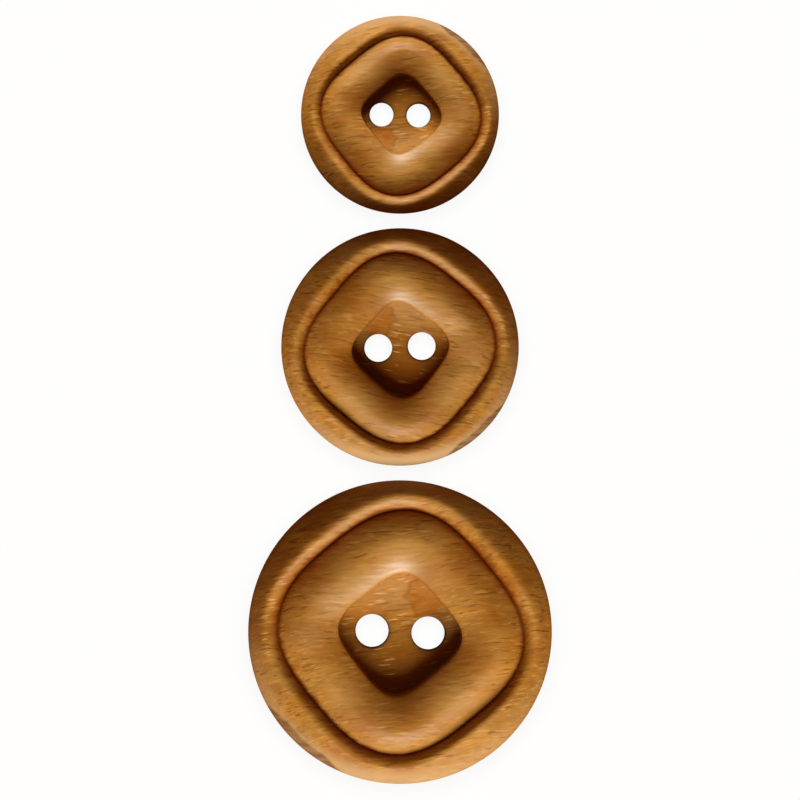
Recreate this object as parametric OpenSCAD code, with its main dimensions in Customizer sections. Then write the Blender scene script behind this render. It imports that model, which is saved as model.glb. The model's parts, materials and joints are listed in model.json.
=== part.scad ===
// Graded set of two-hole wooden buttons: one carved design in three sizes, face up in a column.
// Each button is one piece of wood: a turned disc with a sloping rim, a rounded-square groove
// round a cushion, and a rounded-square recess in the cushion that holds the two sewing holes.

/* [Small button] */
// Outside diameter
small_d = 15; // [14.4:0.1:18]
// Thickness, from the back to the highest part of the rim
small_thickness = 3; // [2.8:0.1:4]
// Height of the widest part of the edge above the back
small_girth_z = 1.7; // [1.2:0.1:2.1]
// How far the edge draws in from the widest part to the back face
small_back_inset = 0.6; // [0.2:0.1:1.2]
// Groove line across its flats
small_groove_af = 10.95; // [10:0.05:11.4]
// Groove depth below the highest part of the rim
small_groove_depth = 0.78; // [0.5:0.01:1]
// Width of the bead between the groove and the crest of the rim
small_bead_w = 0.63; // [0.4:0.01:0.9]
// How far the crest of the rim dips at the corners of the groove line
small_crest_dip = 0.33; // [0:0.01:0.5]
// Rounding of the crest of the rim
small_crest_round = 0.36; // [0.15:0.01:0.55]
// Ridge of the cushion across its flats
small_crown_af = 8; // [7:0.1:9]
// Ridge of the cushion below the highest part of the rim
small_crown_drop = 0.03; // [0:0.01:0.25]
// Recess edge below the ridge of the cushion
small_lip_drop = 0.47; // [0.2:0.01:0.7]
// Recess across its flats
small_recess_af = 5.2; // [4.9:0.1:6.2]
// Recess floor below the highest part of the rim
small_recess_depth = 1.9; // [1.4:0.05:2.2]
// Lean of the recess wall, from its floor to its edge
small_wall_run = 0.1; // [0.05:0.01:0.3]
// Sewing hole diameter
small_hole_d = 1.8; // [1:0.1:2]
// Distance between the centres of the sewing holes
small_hole_pitch = 2.8; // [2.3:0.1:3]
// Turn of the carving about the button's middle, in degrees
small_carving_turn = -5.5; // [-45:0.5:45]
// Turn of the line of holes about the button's middle, in degrees
small_hole_turn = -1.5; // [-8:0.5:8]

/* [Medium button] */
// Outside diameter
medium_d = 18; // [17.2:0.1:21]
// Thickness, from the back to the highest part of the rim
medium_thickness = 3.5; // [3.2:0.1:4.5]
// Height of the widest part of the edge above the back
medium_girth_z = 2; // [1.4:0.1:2.5]
// How far the edge draws in from the widest part to the back face
medium_back_inset = 0.7; // [0.2:0.1:1.4]
// Groove line across its flats
medium_groove_af = 13.1; // [12:0.1:13.7]
// Groove depth below the highest part of the rim
medium_groove_depth = 0.95; // [0.6:0.01:1.2]
// Width of the bead between the groove and the crest of the rim
medium_bead_w = 0.75; // [0.5:0.01:1.1]
// How far the crest of the rim dips at the corners of the groove line
medium_crest_dip = 0.4; // [0:0.01:0.6]
// Rounding of the crest of the rim
medium_crest_round = 0.43; // [0.2:0.01:0.65]
// Ridge of the cushion across its flats
medium_crown_af = 9.6; // [8.4:0.1:11]
// Ridge of the cushion below the highest part of the rim
medium_crown_drop = 0.04; // [0:0.01:0.3]
// Recess edge below the ridge of the cushion
medium_lip_drop = 0.56; // [0.2:0.01:0.85]
// Recess across its flats
medium_recess_af = 6.3; // [5.9:0.1:7.5]
// Recess floor below the highest part of the rim
medium_recess_depth = 2.3; // [1.7:0.05:2.6]
// Lean of the recess wall, from its floor to its edge
medium_wall_run = 0.12; // [0.05:0.01:0.35]
// Sewing hole diameter
medium_hole_d = 2.1; // [1.2:0.1:2.4]
// Distance between the centres of the sewing holes
medium_hole_pitch = 3.3; // [2.8:0.1:3.6]
// Turn of the carving about the button's middle, in degrees
medium_carving_turn = 5.5; // [-45:0.5:45]
// Turn of the line of holes about the button's middle, in degrees
medium_hole_turn = 2.5; // [-8:0.5:8]

/* [Large button] */
// Outside diameter
large_d = 23; // [21.8:0.1:27]
// Thickness, from the back to the highest part of the rim
large_thickness = 4.2; // [3.9:0.1:5.5]
// Height of the widest part of the edge above the back
large_girth_z = 2.4; // [1.6:0.1:3]
// How far the edge draws in from the widest part to the back face
large_back_inset = 0.9; // [0.2:0.1:1.8]
// Groove line across its flats
large_groove_af = 16.8; // [15.4:0.1:17.6]
// Groove depth below the highest part of the rim
large_groove_depth = 1.2; // [0.8:0.05:1.5]
// Width of the bead between the groove and the crest of the rim
large_bead_w = 0.96; // [0.6:0.01:1.4]
// How far the crest of the rim dips at the corners of the groove line
large_crest_dip = 0.5; // [0:0.05:0.75]
// Rounding of the crest of the rim
large_crest_round = 0.55; // [0.25:0.01:0.8]
// Ridge of the cushion across its flats
large_crown_af = 12.3; // [10.8:0.1:14]
// Ridge of the cushion below the highest part of the rim
large_crown_drop = 0.05; // [0:0.01:0.35]
// Recess edge below the ridge of the cushion
large_lip_drop = 0.72; // [0.3:0.01:1.1]
// Recess across its flats
large_recess_af = 8; // [7.5:0.1:9.6]
// Recess floor below the highest part of the rim
large_recess_depth = 2.95; // [2.2:0.05:3.3]
// Lean of the recess wall, from its floor to its edge
large_wall_run = 0.15; // [0.05:0.01:0.45]
// Sewing hole diameter
large_hole_d = 2.5; // [1.5:0.1:2.9]
// Distance between the centres of the sewing holes
large_hole_pitch = 4.25; // [3.6:0.05:4.6]
// Turn of the carving about the button's middle, in degrees
large_carving_turn = -5.5; // [-45:0.5:45]
// Turn of the line of holes about the button's middle, in degrees
large_hole_turn = -2.5; // [-8:0.5:8]

/* [Carving] */
// Squareness of the groove line: 2 is round, and more is squarer
groove_power = 2.8; // [2:0.1:3.6]
// Squareness of the recess and of the cushion's ridge
recess_power = 3.8; // [2:0.1:6]
// Fullness of the cushion's outer side: more keeps its top flatter and its side steeper
cushion_power = 1.75; // [1.3:0.05:3]
// Hollow of the bead: more makes it steeper at the groove and flatter at the crest
bead_power = 2.2; // [1.4:0.1:3]
// Fullness of the rim's outer slope: 1 is straight, and less is rounder towards the edge
slope_power = 0.85; // [0.5:0.05:1]
// Fullness of the edge below its widest part
edge_power = 2.4; // [2:0.1:4]

/* [Layout] */
// Gap between neighbouring buttons as they lie
gap = 1.1; // [0.3:0.1:20]

/* [Hidden] */
wood_colour = [0.69, 0.46, 0.21];

// Facets round each button, and steps across each band of its profile
sectors = 60;
rise_steps = 5;
fall_steps = 5;
bead_steps = 5;
slope_steps = 6;
edge_steps = 5;

// Holes are cut this much past both faces
overcut = 1;
$fn = 64;

column_length = small_d + medium_d + large_d + 2 * gap;
large_y = large_d / 2 - column_length / 2;
medium_y = large_y + large_d / 2 + gap + medium_d / 2;
small_y = medium_y + medium_d / 2 + gap + small_d / 2;

// Distance from the middle to a rounded square at angle a, with its corners on the X and Y axes
function rounded_square_r(af, power, a) =
    af / 2 / pow(pow(abs(cos(a - 45)), power) + pow(abs(sin(a - 45)), power), 1 / power);

// Value between a and b, at 0 for a and 1 for b
function between(a, b, share) = a + (b - a) * share;

// Closed solid through a list of rings, from the innermost one on top to the last one underneath
module ring_loft(rings) {
    count = len(rings[0]);
    last = len(rings) - 1;
    sides = [
        for (k = [0 : last - 1], i = [0 : count - 1])
            let (
                next = (i + 1) % count,
                a = k * count + i,
                b = k * count + next,
                c = (k + 1) * count + next,
                d = (k + 1) * count + i
            )
            each [[a, b, c], [a, c, d]]
    ];
    top = [for (i = [count - 1 : -1 : 0]) i];
    bottom = [for (i = [0 : count - 1]) last * count + i];
    polyhedron(points = [for (ring = rings) each ring], faces = concat([top], sides, [bottom]), convexity = 6);
}

// The wood before drilling. A station s runs outwards over seven guide lines: the border of the
// recess floor at 1, the recess edge at 2, the ridge of the cushion at 3, the groove at 4, the
// crest of the rim at 5, the widest part of the edge at 6, and the border of the back face at 7.
module carved_disc(d, thickness, girth_z, back_inset, groove_af, groove_depth, bead_w, crest_dip,
                   crest_round, crown_af, crown_drop, lip_drop, recess_af, recess_depth, wall_run) {
    groove_z = thickness - groove_depth;
    crown_z = thickness - crown_drop;
    lip_z = crown_z - lip_drop;
    floor_z = thickness - recess_depth;

    function recess_r(a) = rounded_square_r(recess_af, recess_power, a);
    function groove_r(a) = rounded_square_r(groove_af, groove_power, a);
    function crest_r(a) = groove_r(a) + bead_w;
    function crest_z(a) = thickness - crest_dip * (1 + cos(4 * a)) / 2;

    function guide_r(line, a) =
        line == 1 ? recess_r(a) - wall_run :
        line == 2 ? recess_r(a) :
        line == 3 ? rounded_square_r(crown_af, recess_power, a) :
        line == 4 ? groove_r(a) :
        line == 5 ? crest_r(a) :
        line == 6 ? d / 2 :
        d / 2 - back_inset;

    function station_r(s, a) =
        let (line = min(floor(s), 6))
        between(guide_r(line, a), guide_r(line + 1, a), s - line);

    // Share of the way down the outer slope, which leaves the crest in a small round
    function slope_reach(share, a) =
        let (soft = crest_round / (d / 2 - crest_r(a)))
        (norm([share, soft]) - soft) / (norm([1, soft]) - soft);

    function station_z(s, a) =
        s <= 2 ? between(floor_z, lip_z, s - 1) :
        s <= 3 ? between(crown_z, lip_z, pow(3 - s, 2)) :
        s <= 4 ? between(crown_z, groove_z, pow(s - 3, cushion_power)) :
        s <= 5 ? between(crest_z(a), groove_z, pow(5 - s, bead_power)) :
        s <= 6 ? between(girth_z, crest_z(a), pow(max(0, 1 - slope_reach(s - 5, a)), slope_power)) :
        girth_z * (1 - pow(1 - pow(7 - s, edge_power), 1 / edge_power));

    stations = concat(
        [1],
        [for (i = [0 : rise_steps - 1]) 2 + i / rise_steps],
        [for (i = [0 : fall_steps - 1]) 3 + i / fall_steps],
        [for (i = [0 : bead_steps - 1]) 4 + i / bead_steps],
        [for (i = [0 : slope_steps - 1]) 5 + (1 - cos(180 * i / slope_steps)) / 2],
        [for (i = [0 : edge_steps]) 7 - pow(cos(90 * i / edge_steps), 2 / edge_power)]
    );

    ring_loft([
        for (s = stations) [
            for (i = [0 : sectors - 1])
                let (a = 360 * i / sectors, r = station_r(s, a))
                [r * cos(a), r * sin(a), station_z(s, a)]
        ]
    ]);
}

// The two sewing holes, side by side along X
module sewing_holes(hole_d, hole_pitch, thickness) {
    for (side = [-1, 1])
        translate([side * hole_pitch / 2, 0, -overcut])
            cylinder(d = hole_d, h = thickness + 2 * overcut);
}

module small_button() {
    color(wood_colour)
        translate([0, small_y, 0])
            difference() {
                rotate([0, 0, small_carving_turn])
                    carved_disc(small_d, small_thickness, small_girth_z, small_back_inset,
                                small_groove_af, small_groove_depth, small_bead_w, small_crest_dip,
                                small_crest_round, small_crown_af, small_crown_drop, small_lip_drop,
                                small_recess_af, small_recess_depth, small_wall_run);
                rotate([0, 0, small_hole_turn])
                    sewing_holes(small_hole_d, small_hole_pitch, small_thickness);
            }
}

module medium_button() {
    color(wood_colour)
        translate([0, medium_y, 0])
            difference() {
                rotate([0, 0, medium_carving_turn])
                    carved_disc(medium_d, medium_thickness, medium_girth_z, medium_back_inset,
                                medium_groove_af, medium_groove_depth, medium_bead_w, medium_crest_dip,
                                medium_crest_round, medium_crown_af, medium_crown_drop, medium_lip_drop,
                                medium_recess_af, medium_recess_depth, medium_wall_run);
                rotate([0, 0, medium_hole_turn])
                    sewing_holes(medium_hole_d, medium_hole_pitch, medium_thickness);
            }
}

module large_button() {
    color(wood_colour)
        translate([0, large_y, 0])
            difference() {
                rotate([0, 0, large_carving_turn])
                    carved_disc(large_d, large_thickness, large_girth_z, large_back_inset,
                                large_groove_af, large_groove_depth, large_bead_w, large_crest_dip,
                                large_crest_round, large_crown_af, large_crown_drop, large_lip_drop,
                                large_recess_af, large_recess_depth, large_wall_run);
                rotate([0, 0, large_hole_turn])
                    sewing_holes(large_hole_d, large_hole_pitch, large_thickness);
            }
}

small_button();
medium_button();
large_button();
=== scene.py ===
import json
import math

import bpy
import numpy as np
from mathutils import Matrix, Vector, noise


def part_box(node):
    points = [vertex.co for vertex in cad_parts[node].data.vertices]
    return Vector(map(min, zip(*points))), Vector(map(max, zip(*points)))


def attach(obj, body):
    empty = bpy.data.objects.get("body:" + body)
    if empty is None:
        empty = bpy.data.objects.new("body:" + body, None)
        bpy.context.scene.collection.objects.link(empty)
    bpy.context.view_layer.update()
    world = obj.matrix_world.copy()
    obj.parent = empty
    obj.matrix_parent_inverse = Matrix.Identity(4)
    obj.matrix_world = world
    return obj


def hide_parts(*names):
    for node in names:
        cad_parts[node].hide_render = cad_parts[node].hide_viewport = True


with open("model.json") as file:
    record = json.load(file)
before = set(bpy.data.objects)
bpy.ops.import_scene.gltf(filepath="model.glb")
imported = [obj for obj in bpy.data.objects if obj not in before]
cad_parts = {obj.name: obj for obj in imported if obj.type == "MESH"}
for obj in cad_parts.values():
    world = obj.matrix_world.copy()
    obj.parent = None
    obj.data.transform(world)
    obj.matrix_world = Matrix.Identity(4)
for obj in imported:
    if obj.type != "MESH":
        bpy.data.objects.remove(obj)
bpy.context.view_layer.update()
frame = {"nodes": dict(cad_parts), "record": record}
mm = 0.001
print("frame loaded:", ", ".join(sorted(frame["nodes"])))

# the three buttons, sizes in mm and turns in degrees
smallButton = {
    "node": "small_button",
    "girthZ": 1.7,  # height of the widest part
    "backInset": 0.6,
    "grooveFlats": 10.95,
    "grooveDepth": 0.78,
    "beadWidth": 0.63,  # from the groove to the crest of the rim
    "crestDip": 0.33,  # how far the crest falls at the corners
    "crestRound": 0.25,
    "crownFlats": 8,  # ridge of the cushion
    "crownDrop": 0.03,
    "lipDrop": 0.47,
    "recessFlats": 5.2,
    "recessDepth": 1.95,
    "floorDish": 0.1,
    "wallRun": 0.1,  # lean of the recess wall
    "mirrored": False,
    "faceTurn": 180,  # how the carved face is turned about its middle
    "faceDrift": (-0.1, 0.075),  # how far the carving is off the middle
    "grainPlace": (0.004, 0.011, 0.002),  # where in the log it was cut from, in metres
    "grainLean": 8,
    "lampRaise": 1,  # lamp higher, for its steeper rim
    "lampShare": 0.94,
    "recessShade": 1.2,  # how dark the stain and painted shade in and below the recess are
    "rimPale": 1.05,  # how strong the painted sheen on the rim is
}
mediumButton = {
    "node": "medium_button",
    "girthZ": 2,
    "backInset": 0.7,
    "grooveFlats": 13.1,
    "grooveDepth": 0.95,
    "beadWidth": 0.75,
    "crestDip": 0.4,
    "crestRound": 0.3,
    "crownFlats": 9.6,
    "crownDrop": 0.04,
    "lipDrop": 0.56,
    "recessFlats": 6.3,
    "recessDepth": 2.35,
    "floorDish": 0.12,
    "wallRun": 0.12,
    "mirrored": True,
    "faceTurn": 0,
    "faceDrift": (-0.04, -0.09),
    "grainPlace": (0.031, 0.007, 0.005),
    "grainLean": -8,
    "lampRaise": 0,
    "lampShare": 0.88,
    "recessShade": 1.55,
    "rimPale": 1.35,
}
largeButton = {
    "node": "large_button",
    "girthZ": 2.4,
    "backInset": 0.9,
    "grooveFlats": 16.8,
    "grooveDepth": 1.2,
    "beadWidth": 0.96,
    "crestDip": 0.5,
    "crestRound": 0.38,
    "crownFlats": 12.3,
    "crownDrop": 0.05,
    "lipDrop": 0.72,
    "recessFlats": 8,
    "recessDepth": 3,
    "floorDish": 0.15,
    "wallRun": 0.15,
    "mirrored": False,
    "faceTurn": 0,
    "faceDrift": (0, 0),
    "grainPlace": (0.062, 0.023, 0.009),
    "grainLean": 8,
    "lampRaise": 0,
    "lampShare": 1,
    "recessShade": 1,
    "rimPale": 1,
}
buttons = [smallButton, mediumButton, largeButton]

# guide lines of the face from its middle outwards, and then in to the back
atMiddle, atFloor, atRecess, atCrown, atGroove, atCrest, atEdge, atBack = range(8)

# what the carving has in common on all three; fine sizes are in mm on a button of fullRadius
carving = {
    "fullRadius": 11.5,
    "turn": -5.5,
    "groovePower": 2.8,  # squareness of the groove line
    "recessPower": 3.8,
    "recessDrift": (-0.01, -0.13),  # how far each line was carved off the middle
    "crownDrift": (0.05, -0.27),
    "grooveDrift": (0.05, 0.015),
    "crestDrift": (0.03, 0.05),
    "grooveWide": 0.025,  # cut outside its line
    "grooveSkew": 0.085,  # longer from upper left to lower right
    "lineWander": 0.05,
    "wanderPitch": 0.77,  # as a share of the radius
    "recessSeed": 7.1,
    "crownSeed": 5.3,
    "rimSeed": 2.7,
    "crestWander": 0.05,
    "crestGrain": (1.1, 0.4, 9.2),  # pitch along and across the fibres, and a seed
    "lipTilt": 0.17,  # share by which the recess edge is lower at the foot
    "cushionPower": 1.75,
    "beadPower": 2.2,
    "slopePower": 0.85,
    "edgePower": 2.4,
    "lipEase": 0.06,  # sanding of the recess edge
    "lipReach": 0.1,
    "kerfDepth": 0.02,  # knife cut at the bottom of the groove
    "kerfWidth": 0.08,
    "unevenness": 0.02,  # hand sanding
    "unevenGrain": (2.2, 1.6, 11.7),
    "ridges": 0.035,  # grain that stands up
    "ridgeGrain": (1.7, 0.3, 4.1),
    "sandedFrom": (atRecess, 2.3),  # guide lines between which both lie
    "sandedTo": (5.6, 5.95),
    "flawFrom": 203,  # unsanded stretch of the outer edge, degrees round the face
    "flawTo": 252,
    "flawFade": 16,
    "flawBorder": 0.948,  # where it begins, as a share of the radius
    "flawGone": 1.01,  # and past its ends
    "flawSoft": (0.008, 0.014),  # how softly, inside and outside the border
    "flawRagged": 0.007,
    "flawGrain": (2.4, 0.4, 3.3),
    "flawDepth": 0.12,
    "flawedFrom": (atCrest, 5.3),
    "flawedTo": (atEdge, 6.5),
    "holeEase": 0.12,  # rounding of the hole edges
    "holeLift": 0.004,
    "easeSteps": 7,
    "drillOver": 1,  # how far the drill stands out above and below
    "holeSides": 96,
    "sharpAngle": 45,
    "sectors": 512,
    "floorStart": 0.04,  # innermost ring of the floor
    "floorRings": 32,
    "wallRings": 6,
    "riseRings": 30,
    "riseCrowding": 1.6,
    "fallRings": 32,
    "fallCrowding": 1.6,
    "beadRings": 20,
    "beadCrowding": 1.5,
    "slopeRings": 28,
    "slopeCrowding": 1.3,
    "edgeRings": 20,
    "backRings": 6,
}


def between(low, high, share):
    return low + (high - low) * share


def smooth(low, high, value):
    share = np.clip((value - low) / (high - low), 0, 1)
    return share * share * (3 - 2 * share)


def bell(distance, width):
    return np.exp(-(distance / width) ** 2)


def stretch(degrees, begin, end, fade):  # 1 along a stretch of the rim, fading at its ends
    return smooth(begin, begin + fade, degrees) * (1 - smooth(end - fade, end, degrees))


def roundedSquare(halfFlats, power, angle):  # corners on the X and Y axes
    across = np.abs(np.cos(angle - math.pi / 4)) ** power
    along = np.abs(np.sin(angle - math.pi / 4)) ** power
    return halfFlats / (across + along) ** (1 / power)


def noiseField(x, y, pitchX, pitchY, seed):
    places = zip(x.ravel(), y.ravel())
    field = [noise.noise(Vector((px / pitchX, py / pitchY, seed))) for px, py in places]
    return np.array(field).reshape(x.shape)


def grainField(button, x, y, pattern):  # unevenness along the fibres, to the button's scale
    return noiseField(x / button["scale"], y / button["scale"], *pattern)


def measure(button):  # sizes that the frame gives
    low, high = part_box(button["node"])
    prefix = button["node"].replace("_button", "")
    mounts = frame["record"]["mounts"]
    button["middle"] = ((low.x + high.x) / 2, (low.y + high.y) / 2)
    button["radius"] = (high.y - low.y) / 2 / mm
    button["scale"] = button["radius"] / carving["fullRadius"]
    button["thickness"] = high.z / mm
    button["holes"] = [m for m in mounts if m["kind"] == "bore" and m["name"].startswith(prefix)]
    button["holeRadius"] = button["holes"][0]["dims"]["r_mm"]
    button["floorZ"] = button["thickness"] - button["recessDepth"]
    button["grooveZ"] = button["thickness"] - button["grooveDepth"]
    button["crownZ"] = button["thickness"] - button["crownDrop"]


def handCarved(button, line, angle, drift, seed):  # a line as the knife left it
    turned = angle + math.radians(carving["turn"])
    moved = np.array(drift) * button["scale"] + button["faceDrift"]
    pitch = carving["wanderPitch"]
    wander = noiseField(np.cos(angle), np.sin(angle), pitch, pitch, seed)
    wander = carving["lineWander"] * button["scale"] * wander
    return line + moved[0] * np.cos(turned) + moved[1] * np.sin(turned) + wander


def guideLines(button, angle):
    scale = button["scale"]
    edge = np.full_like(angle, button["radius"])
    recess = roundedSquare(button["recessFlats"] / 2, carving["recessPower"], angle)
    recess = handCarved(button, recess, angle, carving["recessDrift"], carving["recessSeed"])
    crown = roundedSquare(button["crownFlats"] / 2, carving["recessPower"], angle)
    crown = handCarved(button, crown, angle, carving["crownDrift"], carving["crownSeed"])
    square = roundedSquare(button["grooveFlats"] / 2, carving["groovePower"], angle)
    skew = carving["grooveSkew"] * np.sin(2 * (angle + math.radians(carving["turn"])))
    groove = square + (carving["grooveWide"] - skew) * scale
    groove = handCarved(button, groove, angle, carving["grooveDrift"], carving["rimSeed"])
    crest = square + button["beadWidth"]
    crest = handCarved(button, crest, angle, carving["crestDrift"], carving["rimSeed"])
    uneven = grainField(button, crest * np.cos(angle), crest * np.sin(angle), carving["crestGrain"])
    crest = crest + carving["crestWander"] * scale * uneven
    floor = recess - button["wallRun"]
    back = edge - button["backInset"]
    return np.stack([np.zeros_like(angle), floor, recess, crown, groove, crest, edge, back])


def profileHeights(button, rows, lines, turned):  # a height for each ring and sector
    station = rows[:, None] + np.zeros_like(turned)
    share = station - np.floor(station)
    scale = button["scale"]
    groove, crown = button["grooveZ"], button["crownZ"]
    lip = crown - button["lipDrop"] * (1 - carving["lipTilt"] * np.sin(turned))
    ease = carving["lipEase"] * scale
    floor = button["floorZ"] + button["floorDish"] * share ** 2
    wall = between(button["floorZ"] + button["floorDish"], lip - ease, share)
    rise = between(crown, lip, (1 - share) ** 2)
    rise -= ease * np.exp(-share * (lines[atCrown] - lines[atRecess]) / (carving["lipReach"] * scale))
    kerfDepth, kerfWidth = carving["kerfDepth"] * scale, carving["kerfWidth"] * scale
    fall = between(crown, groove, share ** carving["cushionPower"])
    fall -= kerfDepth * bell((1 - share) * (lines[atGroove] - lines[atCrown]), kerfWidth)
    cornerShare = (1 + np.cos(4 * (turned - math.radians(carving["turn"])))) / 2
    crest = button["thickness"] - button["crestDip"] * cornerShare
    bead = between(crest, groove, (1 - share) ** carving["beadPower"])
    bead -= kerfDepth * bell(share * (lines[atCrest] - lines[atGroove]), kerfWidth)
    roundness = button["crestRound"] / (lines[atEdge] - lines[atCrest])
    reach = (np.hypot(share, roundness) - roundness) / (np.hypot(1, roundness) - roundness)
    slope = between(button["girthZ"], crest, np.clip(1 - reach, 0, 1) ** carving["slopePower"])
    under = np.clip(1 - share, 0, 1) ** carving["edgePower"]
    edge = button["girthZ"] * (1 - (1 - under) ** (1 / carving["edgePower"]))
    bands = [station < end for end in range(atFloor, atBack + 1)]
    return np.select(bands, [floor, wall, rise, fall, bead, slope, edge], 0.0)


def stationRows():  # rings crowd at the recess edge, the groove, the crest and the outer edge
    floorStart = atMiddle + carving["floorStart"]
    riseOut = np.linspace(0, 1, carving["riseRings"], endpoint=False)
    fallOut = np.linspace(0, 1, carving["fallRings"], endpoint=False)
    beadOut = np.linspace(0, 1, carving["beadRings"], endpoint=False)
    slopeOut = np.sin(math.pi / 2 * np.arange(carving["slopeRings"]) / carving["slopeRings"])
    edgeIn = np.cos(math.pi / 2 * np.arange(carving["edgeRings"] + 1) / carving["edgeRings"])
    return np.concatenate([
        np.linspace(floorStart, atFloor, carving["floorRings"], endpoint=False),
        np.linspace(atFloor, atRecess, carving["wallRings"], endpoint=False),
        atRecess + riseOut ** carving["riseCrowding"],
        atGroove - (1 - fallOut) ** carving["fallCrowding"],
        atGroove + beadOut ** carving["beadCrowding"],
        atCrest + slopeOut ** carving["slopeCrowding"],
        atBack - np.clip(edgeIn, 0, 1) ** (2 / carving["edgePower"]),
    ])


def turnedAbout(x, y, degrees):
    turn = math.radians(degrees)
    return x * math.cos(turn) - y * math.sin(turn), x * math.sin(turn) + y * math.cos(turn)


def toRow(button, points):  # from the carved face to this button's place in the row, in metres
    side = -1 if button["mirrored"] else 1
    x, y = turnedAbout(points[:, 0] * side, points[:, 1], button["faceTurn"])
    placed = np.stack([x, y, points[:, 2]], axis=1) * mm
    placed[:, :2] += button["middle"]
    return placed


def toFace(button, placed):  # and back
    points = placed.copy()
    points[:, :2] -= button["middle"]
    points = points / mm
    side = -1 if button["mirrored"] else 1
    x, y = turnedAbout(points[:, 0], points[:, 1], -button["faceTurn"])
    return np.stack([x * side, y, points[:, 2]], axis=1)


def flawMask(button, x, y):  # the unsanded stretch, with a border torn along the grain
    degrees = np.degrees(np.arctan2(y, x)) % 360
    radius = np.hypot(x, y) / button["radius"]
    ragged = carving["flawRagged"] * grainField(button, x, y, carving["flawGrain"])
    along = stretch(degrees, carving["flawFrom"], carving["flawTo"], carving["flawFade"])
    border = between(carving["flawGone"], carving["flawBorder"] + ragged, along)
    inside, outside = carving["flawSoft"]
    return smooth(border - inside, border + outside, radius)


def overRings(rows, begin, end):  # 1 on the rings between two guide lines, with soft sides
    return (smooth(*begin, rows) * (1 - smooth(*end, rows)))[:, None]


def ringFaces(rings, sides):  # quads between rings of points
    faces = []
    for ring in range(rings - 1):
        for i in range(sides):
            a, b = ring * sides + i, ring * sides + (i + 1) % sides
            faces.append((a, a + sides, b + sides, b))
    return faces


def carvedBlank(button):
    sectors = carving["sectors"]
    scale = button["scale"]
    rows = stationRows()
    angle = np.arange(sectors) * 2 * math.pi / sectors
    lines = guideLines(button, angle)
    part = np.minimum(np.floor(rows), atEdge).astype(int)
    radius = between(lines[part], lines[part + 1], (rows - part)[:, None])
    turned = angle + math.radians(carving["turn"])
    x = radius * np.cos(turned)
    y = radius * np.sin(turned)
    z = profileHeights(button, rows, lines, turned)
    sanded = overRings(rows, carving["sandedFrom"], carving["sandedTo"])
    hollow = 0.5 - 0.5 * grainField(button, x, y, carving["unevenGrain"])
    z -= carving["unevenness"] * scale * hollow * sanded
    worn = 0.5 - 0.5 * grainField(button, x, y, carving["ridgeGrain"])
    z -= carving["ridges"] * scale * worn * sanded
    flawed = overRings(rows, carving["flawedFrom"], carving["flawedTo"])
    z -= carving["flawDepth"] * scale * flawMask(button, x, y) * flawed
    for inset in np.arange(1, carving["backRings"]) / carving["backRings"]:  # rings across the flat back
        x = np.vstack([x, x[len(rows) - 1] * (1 - inset)])
        y = np.vstack([y, y[len(rows) - 1] * (1 - inset)])
        z = np.vstack([z, np.zeros((1, sectors))])
    points = np.stack([x.ravel(), y.ravel(), z.ravel()], axis=1)
    points = np.concatenate([points, [[0, 0, button["floorZ"]], [0, 0, 0]]])
    faces = ringFaces(len(x), sectors)
    top, bottom = len(points) - 2, len(points) - 1
    last = (len(x) - 1) * sectors
    for i in range(sectors):
        j = (i + 1) % sectors
        faces.append((top, i, j))
        faces.append((bottom, last + j, last + i))
    if button["mirrored"]:
        faces = [face[::-1] for face in faces]
    return toRow(button, points), faces


def meshObject(name, points, faces):
    mesh = bpy.data.meshes.new(name)
    mesh.from_pydata([tuple(p) for p in points], [], faces)
    mesh.validate()
    piece = bpy.data.objects.new(name, mesh)
    bpy.context.scene.collection.objects.link(piece)
    return piece


def turnedPoints(radii, heights, sides):  # rings of points round the Z axis
    angle = np.arange(sides) * 2 * math.pi / sides
    x = np.outer(radii, np.cos(angle))
    y = np.outer(radii, np.sin(angle))
    z = np.repeat(heights[:, None], sides, axis=1)
    return np.stack([x.ravel(), y.ravel(), z.ravel()], axis=1)


def holeCutter(button, mount):  # straight drill with a flare at both faces
    ease, lift, sides = carving["holeEase"], carving["holeLift"], carving["holeSides"]
    holeX, holeY = mount["pos_m"][:2]
    wide = button["holeRadius"] + ease
    arc = np.linspace(0, math.pi / 2, carving["easeSteps"])
    flareR = wide - ease * np.cos(arc)
    reach = math.hypot(holeX - button["middle"][0], holeY - button["middle"][1]) / mm
    floorReach = button["recessFlats"] / 2 - button["wallRun"]
    mouthZ = button["floorZ"] + button["floorDish"] * (reach / floorReach) ** 2
    topZ = mouthZ + lift - ease + ease * np.sin(arc)
    backZ = ease - lift - ease * np.sin(arc)
    lowest, highest = -carving["drillOver"], button["thickness"] + carving["drillOver"]
    radii = np.concatenate([[wide], flareR[::-1], flareR, [wide]])
    heights = np.concatenate([[lowest], backZ[::-1], topZ, [highest]])
    points = turnedPoints(radii, heights, sides) * mm + (holeX, holeY, 0)
    last = (len(radii) - 1) * sides
    faces = [tuple(range(sides))[::-1], tuple(range(last, last + sides))]
    for a, aboveA, aboveB, b in ringFaces(len(radii), sides):
        faces.append((a, b, aboveB, aboveA))
    return meshObject(mount["name"] + "_cutter", points, faces)


def drill(piece, cutters):
    for cutter in cutters:
        cut = piece.modifiers.new("drill", "BOOLEAN")
        cut.operation = "DIFFERENCE"
        cut.solver = "EXACT"
        cut.object = cutter
    bpy.context.view_layer.update()
    drilled = bpy.data.meshes.new_from_object(piece.evaluated_get(bpy.context.evaluated_depsgraph_get()))
    piece.modifiers.clear()
    piece.data = drilled
    for cutter in cutters:
        bpy.data.objects.remove(cutter)


# marks on the face: directions and their reach in degrees, widths in mm, spots and fades in radii
edges = {
    "girthFade": (-0.2, 0.1),  # most marks end at the girth, in mm from it
    "recessFade": (-0.1, 0.35),  # where the recess begins, in mm inside its line
    "backFade": (0.3, 0.7),  # and ends inside the holes, in mm above the back
}


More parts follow.
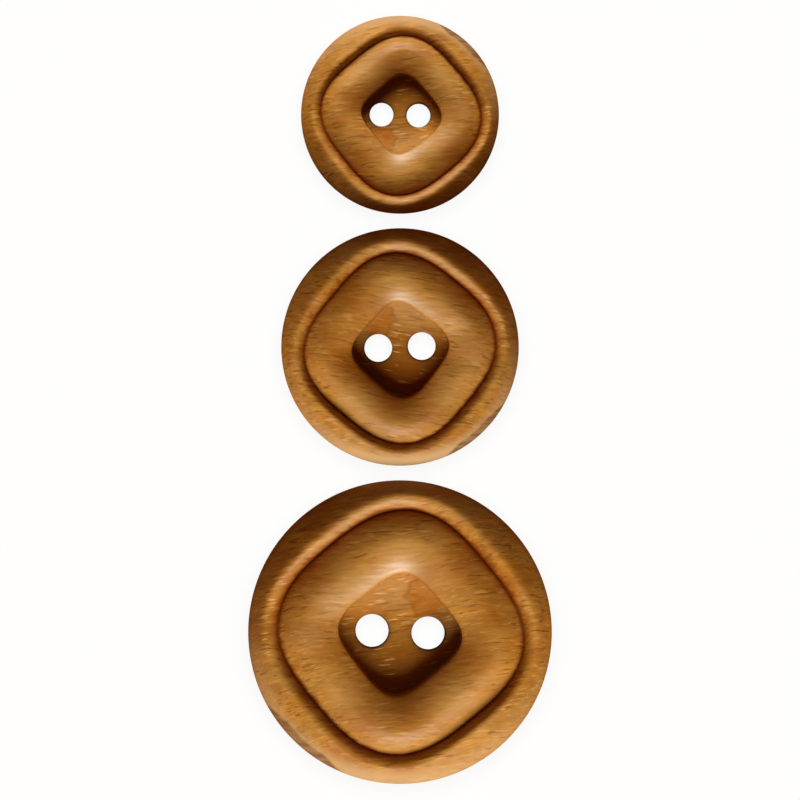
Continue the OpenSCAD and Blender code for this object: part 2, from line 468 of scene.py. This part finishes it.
def facing(degrees, middle, reach):  # 1 towards a direction on the face, fading over its reach
    off = np.abs((degrees - middle + 180) % 360 - 180)
    return bell(off, reach)


def spotAway(at, middle, squash=1):  # distance from a spot
    return np.hypot((at["shareX"] - middle[0]) * squash, at["shareY"] - middle[1])


def facePlaces(button, mesh):  # where each point of the mesh lies on the carved face
    placed = np.empty(len(mesh.vertices) * 3)
    mesh.vertices.foreach_get("co", placed)
    x, y, z = toFace(button, placed.reshape(-1, 3)).T
    scale, full, girth = button["scale"], button["radius"], button["girthZ"]
    angle = np.arctan2(y, x)
    radius = np.hypot(x, y)
    lines = guideLines(button, angle - math.radians(carving["turn"]))
    pastRecess = (radius - lines[atRecess]) / scale
    below, above = edges["girthFade"]
    return {
        "x": x,
        "y": y,
        "z": z,
        "shareX": x / full,
        "shareY": y / full,
        "shareOut": radius / full,
        "degrees": np.degrees(angle) % 360,
        "pastRecess": pastRecess,
        "pastGroove": (radius - lines[atGroove]) / scale,
        "pastBead": (radius - (lines[atGroove] + lines[atCrest]) / 2) / scale,
        "pastCrest": (radius - lines[atCrest]) / scale,
        "up": smooth(girth + below, girth + above, z),
        "recess": smooth(*edges["recessFade"], -pastRecess) * smooth(*edges["backFade"], z),
    }


# clouds in the colour of the wood, each with its place and reach; the red ones are partly painted shade, the
# olive and pink ones partly painted highlights
clouds = [
    ("redCloud", (0.44, -0.15), 0.15),
    ("redCloud", (0.39, 0.4), 0.13),
    ("redCloud", (-0.98, 0.06), 0.1),
    ("redCloud", (0.6, 0.06), 0.09),
    ("redCloud", (-0.55, 0.76), 0.13),
    ("redCloud", (0.8, 0.33), 0.1),
    ("redCloud", (0.17, 0.36), 0.11),
    ("redCloud", (-0.54, 0.38), 0.17),
    ("redCloud", (0.12, -0.52), 0.12),
    ("redCloud", (-0.8, 0.43), 0.14),
    ("redCloud", (-0.25, -0.56), 0.1),
    ("redCloud", (-0.25, -0.87), 0.08),
    ("redCloud", (-0.45, -0.78), 0.08),
    ("redCloud", (0, -0.9), 0.07),
    ("oliveCloud", (0.32, -0.46), 0.16),
    ("oliveCloud", (-0.3, 0.3), 0.14),
    ("oliveCloud", (-0.38, -0.38), 0.13),
    ("oliveCloud", (0.02, 0.52), 0.16),
    ("oliveCloud", (0.06, 0.97), 0.11),
    ("oliveCloud", (0.4, 0.87), 0.13),
    ("pinkCloud", (-0.18, -0.68), 0.13),
    ("pinkCloud", (-0.6, -0.03), 0.12),
    ("creamCloud", (-0.45, 0.19), 0.11),
]
cloudEdges = {
    "squash": 0.8,  # longer along the grain
    "drift": 0.06,
    "grain": (2.6, 0.8, 8.8),
}


def cloudShadeAndHighlightMasks(button, at):
    drift = cloudEdges["drift"] * grainField(button, at["x"], at["y"], cloudEdges["grain"])
    masks = {name: np.zeros_like(drift) for name, middle, reach in clouds}
    for name, middle, reach in clouds:
        spot = bell(spotAway(at, middle, cloudEdges["squash"]) + drift, reach)
        masks[name] = np.maximum(masks[name], spot * at["up"] * (1 - at["recess"]))
    return masks


grooveMarks = {
    "direction": 92,  # side turned from the lamp, where the stain and painted shade creep up the cushion
    "reach": 75,
    "inWidth": 0.16,
    "inWidthThere": 0.6,
    "outWidth": 0.34,  # how far it creeps up the rim
    "outWidthThere": 0.3,
    "creep": 0.28,  # how unevenly it creeps along the fibres
    "creepGrain": (1.2, 0.2, 6.6),
    "lightDirection": 318,  # side towards the lamp, with the least stain and painted shade
    "lightReach": 45,
    "lightShare": 0.25,
    "lineWidth": 0.15,  # dark line at the bottom, painted shade as well as stain, darkest on the side turned from the lamp
    "lineDirection": 88,
    "lineReach": 90,
    "lineLeast": 0.15,
}


def grooveMasks(button, at):
    degrees, past = at["degrees"], at["pastGroove"]
    there = facing(degrees, grooveMarks["direction"], grooveMarks["reach"])
    inWidth = between(grooveMarks["inWidth"], grooveMarks["inWidthThere"], there)
    outWidth = between(grooveMarks["outWidth"], grooveMarks["outWidthThere"], there)
    creep = past + grooveMarks["creep"] * grainField(button, at["x"], at["y"], grooveMarks["creepGrain"])
    creep = np.where(past > 0, np.maximum(creep, 0) / outWidth, np.minimum(creep, 0) / inWidth)
    light = facing(degrees, grooveMarks["lightDirection"], grooveMarks["lightReach"])
    dark = facing(degrees, grooveMarks["lineDirection"], grooveMarks["lineReach"])
    line = bell(past, grooveMarks["lineWidth"]) * between(grooveMarks["lineLeast"], 1, dark)
    return {
        "grooveStain": bell(creep, 1) * between(1, grooveMarks["lightShare"], light) * at["up"],
        "grooveLine": line * at["up"],
    }


recessMarks = {
    "footFade": (-0.25, 0.25),  # stain and painted shade at the foot, less towards the top
    "topShare": 0.1,
    "sideFade": (-0.14, -0.32),  # and at the left, below the middle
    "sideTop": (-0.02, 0.15),
    "sideShare": 0.9,
    "deepDirection": 308,  # corner of painted shade, where the recess is darkest
    "deepReach": 56,
    "deepWidth": 0.95,
    "deepShare": 0.4,
    "runDirection": 285,  # painted shade below the recess, on the slope turned from the lamp
    "runReach": 68,
    "runWidth": 1.3,
}


def recessMasks(button, at):
    recess, up = at["recess"], at["up"]
    foot = between(1, recessMarks["topShare"], smooth(*recessMarks["footFade"], at["shareY"]))
    side = recessMarks["sideShare"] * smooth(*recessMarks["sideFade"], at["shareX"])
    side = side * (1 - smooth(*recessMarks["sideTop"], at["shareY"]))
    stain = recess * np.maximum(foot, side) * button["recessShade"]
    corner = facing(at["degrees"], recessMarks["deepDirection"], recessMarks["deepReach"])
    deep = recess * bell(at["pastRecess"], recessMarks["deepWidth"]) * corner
    run = bell(np.maximum(at["pastRecess"], 0), recessMarks["runWidth"]) * (1 - recess)
    run = run * facing(at["degrees"], recessMarks["runDirection"], recessMarks["runReach"])
    return {
        "recessStain": stain + recessMarks["deepShare"] * deep,
        "recessDeep": deep,
        "footStain": run * up * button["recessShade"],
    }


patchMarks = {
    "middle": (0.17, 0.23),  # amber patch on the recess floor
    "reach": 0.14,
    "squash": 1.15,
    "fade": (0.65, 1.15),  # as shares of its reach
    "ragged": 0.5,
    "grain": (1.5, 0.55, 5.5),
    "streaks": (0.75, 1.12),
    "streakRange": (-0.3, 0.3),  # of the noise in its streaks
    "streakGrain": (1.1, 0.3, 2.2),
    "borderAt": 0.9,  # darker border
    "borderWidth": 0.16,
    "borderShare": 0.7,
    "blushMiddle": (0.235, 0.115),  # darker spot beside it
    "blushReach": 0.045,
    "blushSquash": 0.6,
    "blushRagged": 0.02,
    "blushGrain": (1.4, 0.5, 1.9),
}


def patchMasks(button, at):
    x, y, recess = at["x"], at["y"], at["recess"]
    blot = spotAway(at, patchMarks["middle"], patchMarks["squash"]) / patchMarks["reach"]
    blot = blot + patchMarks["ragged"] * grainField(button, x, y, patchMarks["grain"])
    amber = (1 - smooth(*patchMarks["fade"], blot)) * recess
    streaks = smooth(*patchMarks["streakRange"], grainField(button, x, y, patchMarks["streakGrain"]))
    border = patchMarks["borderShare"] * bell(blot - patchMarks["borderAt"], patchMarks["borderWidth"])
    blush = spotAway(at, patchMarks["blushMiddle"], patchMarks["blushSquash"])
    blush = blush + patchMarks["blushRagged"] * grainField(button, x, y, patchMarks["blushGrain"])
    blush = bell(blush, patchMarks["blushReach"])
    return {
        "amberPatch": amber * between(*patchMarks["streaks"], streaks),
        "patchEdge": np.maximum(border, blush) * recess,
    }


holeMarks = {
    "burnCore": 0.05,  # ring that the drill scorched black
    "burnWidth": 0.09,
    "scorchWidth": 0.34,  # and brown beyond
    "scorchShare": 0.4,
    "direction": -45,  # side where the ring is darkest, painted shade of the hole wall
    "reach": 100,
    "least": 0.35,
}


def holeMasks(button, at):
    burn = np.zeros_like(at["x"])
    for mount in button["holes"]:
        holeX, holeY = toFace(button, np.array([mount["pos_m"]]))[0, :2]
        offX, offY = at["x"] - holeX, at["y"] - holeY
        beyond = np.maximum(np.hypot(offX, offY) - button["holeRadius"], 0) / button["scale"]
        ring = bell(np.maximum(beyond - holeMarks["burnCore"], 0), holeMarks["burnWidth"])
        ring = np.maximum(ring, holeMarks["scorchShare"] * bell(beyond, holeMarks["scorchWidth"]))
        dark = facing(np.degrees(np.arctan2(offY, offX)), holeMarks["direction"], holeMarks["reach"])
        burn = np.maximum(burn, ring * between(holeMarks["least"], 1, dark))
    return {"holeBurn": burn}


wear = {
    "polishDirection": 99,  # recess edge rubbed smooth, with a painted highlight where it faces the lamp
    "polishReach": 36,
    "polishOut": 0.35,
    "polishWidth": 0.7,
    "polishPale": 0.5,
    "rimDirection": 258,  # painted sheen on the edge of the rim towards the lamp
    "rimReach": 58,
    "rimFade": (0.87, 0.97),
    "beadDirection": 118,  # painted highlight on the stretch of the bead that faces the lamp
    "beadReach": 34,
    "beadWidth": 0.42,
    "beadPale": 0.55,
    "bareFade": (0.08, 0.3),  # painted light on the top of the recess floor
    "barePale": 0.35,
    "creamPale": 0.42,
    "dullDirection": 268,  # crest without gloss
    "dullReach": 60,
    "dullWidth": 0.6,
    "glossPlain": 0.32,
    "glossStained": 0.0,
    "glossRubbed": 0.9,
    "flawFray": (0.7, 1.3),  # unsanded stretch of the edge
    "frayRange": (-0.25, 0.25),  # of the noise that frays it
    "frayGrain": (1.5, 0.22, 4.7),
    "flawHeight": (0.28, 0.52),  # as shares of the thickness
    "tornFrom": 132,  # stretch of the crest where the grain tore
    "tornTo": 196,
    "tornFade": 12,
    "tornWidth": 0.55,
    "tornFlecks": 1.25,
    "roughMiddle": (-0.24, -0.68),  # rough spot low on the cushion
    "roughReach": 0.2,
    "roughFlecks": 0.45,
    "recessFlecks": 0.66,
}


def flawPaint(button, at):
    fray = smooth(*wear["frayRange"], grainField(button, at["x"], at["y"], wear["frayGrain"]))
    flaw = flawMask(button, at["x"], at["y"]) * between(*wear["flawFray"], fray)
    return np.clip(flaw, 0, 1) * smooth(*wear["flawHeight"], at["z"] / button["thickness"])


def wearMasks(button, at, stain, cream):
    degrees, up, recess = at["degrees"], at["up"], at["recess"]
    flaw = flawPaint(button, at)
    polish = bell(np.maximum(at["pastRecess"], 0) - wear["polishOut"], wear["polishWidth"])
    polish = polish * facing(degrees, wear["polishDirection"], wear["polishReach"]) * (1 - recess) * up
    rim = facing(degrees, wear["rimDirection"], wear["rimReach"])
    bead = facing(degrees, wear["beadDirection"], wear["beadReach"])
    dull = facing(degrees, wear["dullDirection"], wear["dullReach"])
    dulled = [stain, recess, bell(at["pastCrest"], wear["dullWidth"]) * dull, flaw]
    gloss = between(wear["glossPlain"], wear["glossStained"], np.maximum.reduce(dulled))
    torn = stretch(degrees, wear["tornFrom"], wear["tornTo"], wear["tornFade"])
    paleParts = [
        smooth(*wear["rimFade"], at["shareOut"]) * rim * up * button["rimPale"],
        wear["beadPale"] * bell(at["pastBead"], wear["beadWidth"]) * bead * up,
        wear["barePale"] * recess * smooth(*wear["bareFade"], at["shareY"]),
        wear["polishPale"] * polish,
        wear["creamPale"] * cream,
    ]
    fleckParts = [
        wear["recessFlecks"] * recess,
        wear["tornFlecks"] * torn * bell(at["pastCrest"], wear["tornWidth"]) * up,
        wear["roughFlecks"] * bell(spotAway(at, wear["roughMiddle"]), wear["roughReach"]) * up,
    ]
    return {
        "edgeFlaw": flaw,
        "polish": polish,
        "paleEdge": np.maximum.reduce(paleParts),
        "gloss": between(gloss, wear["glossRubbed"], polish),
        "fleckShare": np.maximum.reduce(fleckParts),
    }


def paintMasks(button, mesh):
    at = facePlaces(button, mesh)
    masks = cloudShadeAndHighlightMasks(button, at)
    cream = masks.pop("creamCloud")
    masks.update(grooveMasks(button, at))
    masks.update(recessMasks(button, at))
    masks.update(patchMasks(button, at))
    masks.update(holeMasks(button, at))
    masks.update(wearMasks(button, at, masks["grooveStain"], cream))
    for name, values in masks.items():
        layer = mesh.attributes.new(name, "FLOAT", "POINT")
        layer.data.foreach_set("value", values.astype(np.float32))


def carvedButton(button):
    points, faces = carvedBlank(button)
    piece = meshObject(button["node"] + "_wood", points, faces)
    drill(piece, [holeCutter(button, mount) for mount in button["holes"]])
    mesh = piece.data
    paintMasks(button, mesh)
    mesh.polygons.foreach_set("use_smooth", [True] * len(mesh.polygons))
    mesh.set_sharp_from_angle(angle=math.radians(carving["sharpAngle"]))
    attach(piece, "root")
    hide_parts(button["node"])
    print("carved", button["node"], len(mesh.polygons), "faces")
    return piece


# shader helpers
def putNode(tree, kind, label, values=None, **settings):
    node = tree.nodes.new(kind)
    node.label = label
    for name, value in settings.items():
        setattr(node, name, value)
    for socket, value in (values or {}).items():
        if isinstance(value, bpy.types.NodeSocket):
            tree.links.new(value, node.inputs[socket])
        else:
            node.inputs[socket].default_value = value
    return node


def mixColour(tree, label, share, first, second, blend="MIX"):
    values = {0: share, 6: first, 7: second}
    return putNode(tree, "ShaderNodeMix", label, values, data_type="RGBA", blend_type=blend).outputs[2]


def remap(tree, label, value, fromRange, toRange=(0.0, 1.0)):
    values = {
        "Value": value,
        "From Min": fromRange[0],
        "From Max": fromRange[1],
        "To Min": toRange[0],
        "To Max": toRange[1],
    }
    return putNode(tree, "ShaderNodeMapRange", label, values).outputs["Result"]


def calc(tree, label, operation, first, second=0.0):
    return putNode(tree, "ShaderNodeMath", label, {0: first, 1: second}, operation=operation).outputs[0]


def attribute(tree, name):
    return putNode(tree, "ShaderNodeAttribute", name, attribute_name=name).outputs["Fac"]


def stretchedNoise(tree, label, vector, stretched, detail, roughness):
    scaled = putNode(tree, "ShaderNodeMapping", label + " stretch", {"Vector": vector, "Scale": stretched})
    values = {"Vector": scaled.outputs[0], "Scale": 1.0, "Detail": detail, "Roughness": roughness}
    return putNode(tree, "ShaderNodeTexNoise", label, values)


def newGroup(name, inputs, outputs):
    group = bpy.data.node_groups.new(name, "ShaderNodeTree")
    for socket, kind in inputs:
        group.interface.new_socket(socket, in_out="INPUT", socket_type="NodeSocket" + kind)
    for socket, kind in outputs:
        group.interface.new_socket(socket, in_out="OUTPUT", socket_type="NodeSocket" + kind)
    entry = group.nodes.new("NodeGroupInput")
    leave = group.nodes.new("NodeGroupOutput")
    return group, entry.outputs, leave.inputs


# wood grain along X: noise in cycles a metre along the log, across it and through the layers
grain = {
    "layerTilt": 14,  # lean of the growth layers, degrees about the grain
    "swayStretch": (70, 150, 90),
    "swayDetail": 1.0,
    "swayRoughness": 0.5,
    "swayMiddle": (0.5, 0.5, 0.5),
    "sway": (0.0, 0.0017, 0.0017),  # how far the fibres bend, in metres
}
grainLayers = [  # each with its stretch, detail and roughness
    ("Tone", (170, 430, 300), 2.0, 0.5),
    ("Shade", (120, 210, 170), 2.0, 0.5),
    ("Band", (190, 1000, 640), 3.0, 0.55),
    ("Streak", (620, 3700, 1300), 2.0, 0.55),
    ("Fibre", (1300, 7600, 3200), 3.0, 0.6),
    ("Dash", (780, 5200, 1500), 1.0, 0.5),
    ("Pore", (620, 5600, 1400), 1.0, 0.5),
]


def swayingGrain():
    inputs = [("Vector", "Vector"), ("Place", "Vector"), ("Turn", "Vector")]
    outputs = [(layer[0], "Float") for layer in grainLayers]
    group, entry, leave = newGroup("swayingGrain", inputs, outputs)
    logValues = {"Vector": entry["Vector"], "Location": entry["Place"], "Rotation": entry["Turn"]}
    log = putNode(group, "ShaderNodeMapping", "log", logValues).outputs[0]
    detail, roughness = grain["swayDetail"], grain["swayRoughness"]
    sway = stretchedNoise(group, "sway", log, grain["swayStretch"], detail, roughness)
    eitherWay = {0: sway.outputs["Color"], 1: grain["swayMiddle"]}
    centred = putNode(group, "ShaderNodeVectorMath", "either way", eitherWay, operation="SUBTRACT")
    bent = {0: centred.outputs[0], 1: grain["sway"], 2: log}
    fibres = putNode(group, "ShaderNodeVectorMath", "bent fibres", bent, operation="MULTIPLY_ADD")
    for name, stretched, detail, roughness in grainLayers:
        layer = stretchedNoise(group, name.lower(), fibres.outputs[0], stretched, detail, roughness)
        group.links.new(layer.outputs[0], leave[name])
    return group


# the finish: ranges of the noise, and what they turn to
honeyWood = {
    "honey": (0.425, 0.195, 0.029, 1),
    "amber": (0.405, 0.166, 0.018, 1),
    "honeyFrom": (0.43, 0.57),
    "olive": (0.37, 0.178, 0.034, 1),
    "oliveFrom": (0.54, 0.68),
    "oliveShare": (0.0, 0.75),
    "tan": (0.48, 0.235, 0.052, 1),
    "tanFrom": (0.46, 0.32),
    "tanShare": (0.0, 0.6),
    "usual": (0.3, 0.7),  # where most of the noise lies
    "bands": (0.87, 1.11),  # from dark to light
    "streaks": (0.88, 1.1),
    "fibres": (0.85, 1.13),
    "strokeColour": (0.55, 0.29, 0.075, 1),
    "strokeFrom": (0.6, 0.66),
    "strokeShare": (0.0, 0.62),
    "dashColour": (0.68, 0.38, 0.12, 1),
    "dashFrom": (0.78, 0.86),
    "dashShare": (0.0, 0.8),
    "dashMore": 0.21,  # more dashes with painted glints where the grain is torn
    "poreColour": (0.17, 0.058, 0.005, 1),
    "poreFrom": (0.385, 0.32),
    "poreShare": (0.0, 0.64),
    "endPower": 2.0,  # how fast the end grain comes in
    "raggedFrom": (0.35, 0.65),
    "raggedShare": (0.55, 1.0),
    "roughness": (0.54, 0.4),
    "polished": 0.14,  # how much smoother the rubbed edge is
    "unsanded": 0.5,  # and how much rougher the edge flaw is
    "faintFibres": 0.25,
    "bump": 0.5,
    "bumpDepth": 0.02 * mm,
    "ior": 1.45,
    "specular": 0.1,
    "coatRoughness": 0.38,
}
stains = [  # each with the mask it follows, its colour and how strongly it covers
    # red clouds: stain, partly painted shade; olive and pink clouds: partly painted highlights
    ("Red", "redCloud", (0.29, 0.085, 0.005, 1), 0.68),
    ("Olive", "oliveCloud", (0.45, 0.235, 0.055, 1), 0.62),
    ("Pink", "pinkCloud", (0.41, 0.185, 0.062, 1), 0.5),
    # recess stain with painted shade at its foot, painted shade in its darkest corner, and painted shade
    # below the recess
    ("Recess", "recessStain", (0.238, 0.065, 0.0015, 1), 0.58),
    ("Deep", "recessDeep", (0.1, 0.075, 0.02, 1), 0.7),
    ("Foot", "footStain", (0.25, 0.064, 0.003, 1), 0.5),
    # painted sheen and highlights on the rim, bead, recess edge and recess floor, with the real cream cloud
    ("Pale", "paleEdge", (0.54, 0.345, 0.16, 1), 0.7),
    ("Patch", "amberPatch", (0.37, 0.106, 0.002, 1), 0.88),
    ("Border", "patchEdge", (0.2, 0.052, 0.002, 1), 0.65),
    ("Flaw", "edgeFlaw", (0.105, 0.036, 0.007, 1), 0.72),
    # groove stain and line, with painted shade on the side turned from the lamp
    ("Groove", "grooveStain", (0.195, 0.029, 0.0006, 1), 0.8),
    ("Line", "grooveLine", (0.07, 0.012, 0.0006, 1), 0.85),
    # scorched ring round the holes, with painted shade on one side
    ("Burn", "holeBurn", (0.03, 0.01, 0.003, 1), 0.95),
]
endGrain = (0.86, 0.66, 0.42, 1)  # darkens the wood
raggedStains = ("Red", "Pink", "Patch", "Border")  # these follow the fibres


def carvedStain():
    inputs = [("Wood", "Color"), ("Fibre", "Float"), ("End", "Float")]
    inputs += [(stain[0], "Float") for stain in stains]
    group, entry, leave = newGroup("carvedStain", inputs, [("Colour", "Color")])
    raggedFrom, raggedShare = honeyWood["raggedFrom"], honeyWood["raggedShare"]
    ragged = remap(group, "along the fibres", entry["Fibre"], raggedFrom, raggedShare)
    colour = mixColour(group, "end grain", entry["End"], entry["Wood"], endGrain, "MULTIPLY")
    for name, mask, stainColour, cover in stains:
        share = calc(group, name + " cover", "MULTIPLY", entry[name], cover)
        if name in raggedStains:
            share = calc(group, name + " in fibres", "MULTIPLY", share, ragged)
        colour = mixColour(group, name + " stain", share, colour, stainColour)
    group.links.new(colour, leave["Colour"])
    return group


grainGroup = swayingGrain()
stainGroup = carvedStain()


def woodColour(tree, wood):  # honey and amber, with clouds, bands and streaks
    tone = remap(tree, "honey share", wood["Tone"], honeyWood["honeyFrom"])
    colour = mixColour(tree, "amber to honey", tone, honeyWood["amber"], honeyWood["honey"])
    olive = remap(tree, "olive share", wood["Shade"], honeyWood["oliveFrom"], honeyWood["oliveShare"])
    colour = mixColour(tree, "olive clouds", olive, colour, honeyWood["olive"])
    tan = remap(tree, "tan share", wood["Shade"], honeyWood["tanFrom"], honeyWood["tanShare"])
    colour = mixColour(tree, "tan clouds", tan, colour, honeyWood["tan"])
    band = remap(tree, "bands", wood["Band"], honeyWood["usual"], honeyWood["bands"])
    streak = remap(tree, "streaks", wood["Streak"], honeyWood["usual"], honeyWood["streaks"])
    fibre = remap(tree, "fibres", wood["Fibre"], honeyWood["usual"], honeyWood["fibres"])
    streaks = calc(tree, "bands and streaks", "MULTIPLY", band, streak)
    streaks = calc(tree, "and fibres", "MULTIPLY", streaks, fibre)
    return mixColour(tree, "streaked", 1.0, colour, streaks, "MULTIPLY")


def woodRoughness(tree, wood):
    rough = remap(tree, "roughness", wood["Fibre"], honeyWood["usual"], honeyWood["roughness"])
    polish = calc(tree, "rubbed smooth", "MULTIPLY", attribute(tree, "polish"), honeyWood["polished"])
    rough = calc(tree, "roughness left", "SUBTRACT", rough, polish)
    flaw = calc(tree, "rough where unsanded", "MULTIPLY", attribute(tree, "edgeFlaw"), honeyWood["unsanded"])
    return calc(tree, "roughness in all", "ADD", rough, flaw)


def woodRelief(tree, wood, dash, pore):
    relief = calc(tree, "faint fibres", "MULTIPLY", wood["Fibre"], honeyWood["faintFibres"])
    relief = calc(tree, "raised dashes", "ADD", relief, dash)
    relief = calc(tree, "sunk pores", "SUBTRACT", relief, pore)
    values = {"Strength": honeyWood["bump"], "Distance": honeyWood["bumpDepth"], "Height": relief}
    return putNode(tree, "ShaderNodeBump", "fibre relief", values).outputs["Normal"]


def woodMaterial(button):
    material = bpy.data.materials.new(button["node"] + "_honey_wood")
    material.use_nodes = True
    tree = material.node_tree
    tree.nodes.clear()
    coords = putNode(tree, "ShaderNodeTexCoord", "row coordinates")
    turn = (math.radians(grain["layerTilt"]), 0, -math.radians(button["grainLean"]))
    grainValues = {"Vector": coords.outputs["Object"], "Place": button["grainPlace"], "Turn": turn}
    wood = putNode(tree, "ShaderNodeGroup", "grain", grainValues, node_tree=grainGroup).outputs
    colour = woodColour(tree, wood)
    stroke = remap(tree, "pale strokes", wood["Dash"], honeyWood["strokeFrom"], honeyWood["strokeShare"])
    colour = mixColour(tree, "pale fibres", stroke, colour, honeyWood["strokeColour"])
    more = calc(tree, "more where torn", "MULTIPLY", attribute(tree, "fleckShare"), honeyWood["dashMore"])
    torn = calc(tree, "torn fibres", "ADD", wood["Dash"], more)
    dash = remap(tree, "dashes", torn, honeyWood["dashFrom"], honeyWood["dashShare"])
    # pale colour on the torn dashes: painted glints, on fibres that the relief also raises
    colour = mixColour(tree, "torn dashes", dash, colour, honeyWood["dashColour"])
    pore = remap(tree, "pores", wood["Pore"], honeyWood["poreFrom"], honeyWood["poreShare"])
    colour = mixColour(tree, "open pores", pore, colour, honeyWood["poreColour"])
    surface = putNode(tree, "ShaderNodeNewGeometry", "surface").outputs["Normal"]
    along = putNode(tree, "ShaderNodeSeparateXYZ", "along the grain", {0: surface}).outputs["X"]
    either = calc(tree, "either end", "ABSOLUTE", along)
    shares = {name: attribute(tree, mask) for name, mask, stainColour, cover in stains}
    shares["Recess"] = calc(tree, "recess between dashes", "SUBTRACT", shares["Recess"], dash)
    shares["End"] = calc(tree, "end grain", "POWER", either, honeyWood["endPower"])
    stainValues = {"Wood": colour, "Fibre": wood["Fibre"], **shares}
    stained = putNode(tree, "ShaderNodeGroup", "stain", stainValues, node_tree=stainGroup)
    shader = putNode(tree, "ShaderNodeBsdfPrincipled", "oiled wood", {
        "Base Color": stained.outputs["Colour"],
        "Roughness": woodRoughness(tree, wood),
        "IOR": honeyWood["ior"],
        "Specular IOR Level": honeyWood["specular"],
        "Coat Weight": attribute(tree, "gloss"),
        "Coat Roughness": honeyWood["coatRoughness"],
        "Coat IOR": honeyWood["ior"],
        "Normal": woodRelief(tree, wood, dash, pore),
    })
    putNode(tree, "ShaderNodeOutputMaterial", "out", {"Surface": shader.outputs["BSDF"]})
    return material


pieces = []
for button in buttons:
    measure(button)
    piece = carvedButton(button)
    piece.data.materials.clear()
    piece.data.materials.append(woodMaterial(button))
    pieces.append(piece)
print("wood finished on", len(pieces), "buttons")


# white sweep that the buttons lie on, in metres
sweep = {
    "innerRadius": 0.05,
    "flatRadius": 1.4,
    "rimRadius": 2.2,
    "rimHeight": 0.4,
    "rimRings": 8,
    "drop": 0.00001,
    "sides": 96,
    "glow": 0.88,  # share of plain white that the camera sees
    "white": (0.9, 0.9, 0.9, 1),
    "plainWhite": (1, 1, 1, 1),
}


def paperMaterial():
    material = bpy.data.materials.new("white_sweep")
    material.use_nodes = True
    tree = material.node_tree
    tree.nodes.clear()
    ray = putNode(tree, "ShaderNodeLightPath", "kind of ray").outputs
    seen = calc(tree, "camera or gloss", "MAXIMUM", ray["Is Camera Ray"], ray["Is Glossy Ray"])
    seen = calc(tree, "or glass", "MAXIMUM", seen, ray["Is Transmission Ray"])
    share = calc(tree, "white share", "MULTIPLY", seen, sweep["glow"])
    matt = putNode(tree, "ShaderNodeBsdfDiffuse", "paper", {"Color": sweep["white"]})
    glow = putNode(tree, "ShaderNodeEmission", "white", {"Color": sweep["plainWhite"], "Strength": 1.0})
    mixValues = {0: share, 1: matt.outputs[0], 2: glow.outputs[0]}
    mixed = putNode(tree, "ShaderNodeMixShader", "paper seen", mixValues)
    putNode(tree, "ShaderNodeOutputMaterial", "out", {"Surface": mixed.outputs[0]})
    return material


def whiteSweep():
    sides = sweep["sides"]
    flat, rim = sweep["flatRadius"], sweep["rimRadius"]
    radii = np.array([sweep["innerRadius"], *np.linspace(flat, rim, sweep["rimRings"])])
    rise = np.clip((radii - flat) / (rim - flat), 0, 1)
    points = turnedPoints(radii, sweep["rimHeight"] * rise ** 2 - sweep["drop"], sides)
    faces = [tuple(range(sides))] + ringFaces(len(radii), sides)
    piece = meshObject("white_sweep", points, faces)
    piece.data.materials.append(paperMaterial())
    piece.visible_diffuse = False  # no light from below on the wood
    piece.visible_glossy = False
    return piece


paper = whiteSweep()
print("paper laid")

# soft lamps: one for each button, and one over the paper
lighting = {
    "elevation": 37,
    "keyStrength": 4.75,
    "keySoftness": 40,  # degrees across
    "faceAzimuth": 278,  # where the key stands round the carved face
    "paperAzimuth": 90,
    "paperElevation": 80,
    "paperStrength": 3.1,
    "paperSoftness": 60,
    "distance": 0.5,
    "worldColour": (1.0, 0.4, 0.12, 1),
    "worldStrength": 0.14,
}


def softLamp(name, azimuth, elevation, strength, softness, lit):
    lamp = bpy.data.lights.new(name, "SUN")
    lamp.energy = strength
    lamp.angle = math.radians(softness)
    holder = bpy.data.objects.new(name, lamp)
    bpy.context.scene.collection.objects.link(holder)
    turn, lift = math.radians(azimuth), math.radians(elevation)
    towards = Vector((math.cos(turn) * math.cos(lift), math.sin(turn) * math.cos(lift), math.sin(lift)))
    holder.rotation_euler = towards.to_track_quat("Z", "Y").to_euler()
    holder.location = towards * lighting["distance"]
    receivers = bpy.data.collections.new(name + "_lights")
    receivers.objects.link(lit)
    holder.light_linking.receiver_collection = receivers


def keyLamp(button, piece):  # mirrored and turned with the face
    azimuth = lighting["faceAzimuth"]
    if button["mirrored"]:
        azimuth = 180 - azimuth
    azimuth += button["faceTurn"]
    elevation = lighting["elevation"] + button["lampRaise"]
    level = math.sin(math.radians(lighting["elevation"])) / math.sin(math.radians(elevation))
    strength = lighting["keyStrength"] * button["lampShare"] * level
    softLamp(button["node"] + "_key", azimuth, elevation, strength, lighting["keySoftness"], piece)


def paperLamp():
    azimuth, elevation = lighting["paperAzimuth"], lighting["paperElevation"]
    softLamp("paper_lamp", azimuth, elevation, lighting["paperStrength"], lighting["paperSoftness"], paper)


for button, piece in zip(buttons, pieces):
    keyLamp(button, piece)
paperLamp()

world = bpy.data.worlds.new("studio")
world.use_nodes = True
background = world.node_tree.nodes["Background"]
background.inputs["Color"].default_value = lighting["worldColour"]
background.inputs["Strength"].default_value = lighting["worldStrength"]
bpy.context.scene.world = world
bpy.context.scene.view_settings.view_transform = "Standard"
print("lamps set")

# camera straight above the middle of the row
camera = {
    "lens": 500,
    "sensor": 36,
    "clipStart": 0.01,  # metres
    "pixelsPerMm": 13.2,
    "imageSize": 800,
    "focusZ": 2.2,
    "shiftY": -0.02,  # mm along the row
}
view = bpy.data.cameras.new("camera")
view.lens = camera["lens"]
view.sensor_width = camera["sensor"]
view.clip_start = camera["clipStart"]
holder = bpy.data.objects.new("camera", view)
bpy.context.scene.collection.objects.link(holder)
viewWidth = camera["imageSize"] / camera["pixelsPerMm"] * mm
distance = viewWidth * camera["lens"] / camera["sensor"]
holder.location = (0, camera["shiftY"] * mm, distance + camera["focusZ"] * mm)
bpy.context.scene.camera = holder
print("camera set", round(distance, 4))
